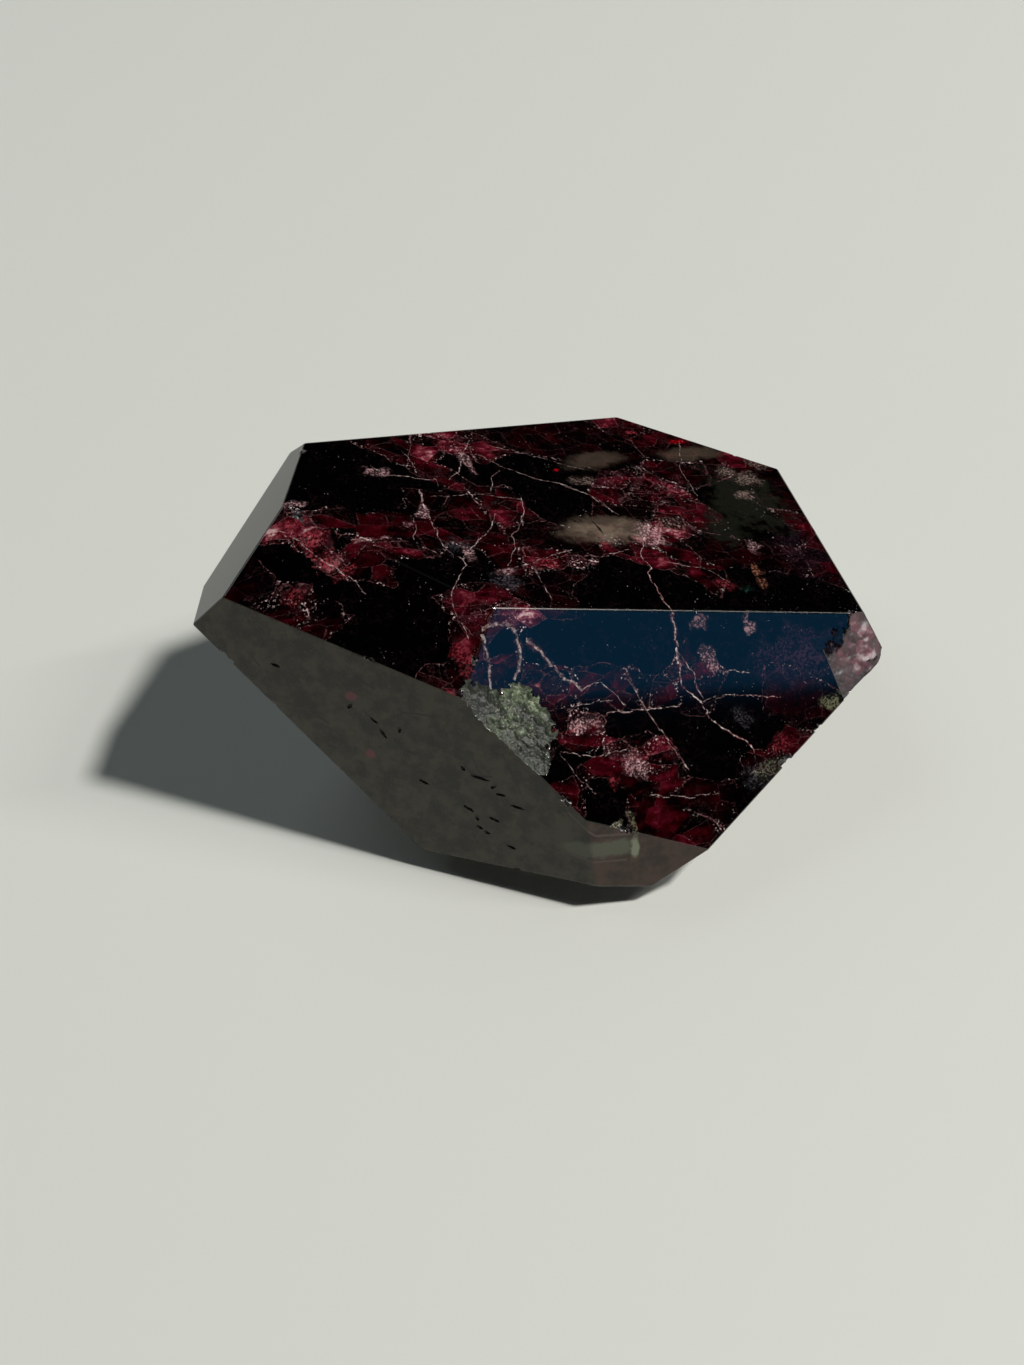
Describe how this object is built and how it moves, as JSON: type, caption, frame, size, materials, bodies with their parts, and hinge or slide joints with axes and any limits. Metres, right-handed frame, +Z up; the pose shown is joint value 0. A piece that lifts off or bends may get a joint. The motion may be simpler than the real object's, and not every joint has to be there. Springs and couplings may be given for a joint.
{
  "type": "garnet crystal",
  "caption": "Polished dark red garnet with flat facets, a broken right tip and a pocket of pale green mineral, resting on a flat base.",
  "frame": {"origin": "middle of the bounding box at the flat base, which rests on the surface", "axes": "+Z up, +X along the stone's longest extent towards its broken tip, +Y away from the large right front facet, towards the back"},
  "size_m": [0.0814, 0.0628, 0.038],
  "materials": {
    "garnet": "polished, nearly opaque dark red stone with pink veins and a pocket of pale green mineral"
  },
  "bodies": {
    "root": {"garnet_crystal": "garnet"}
  },
  "joints": []
}
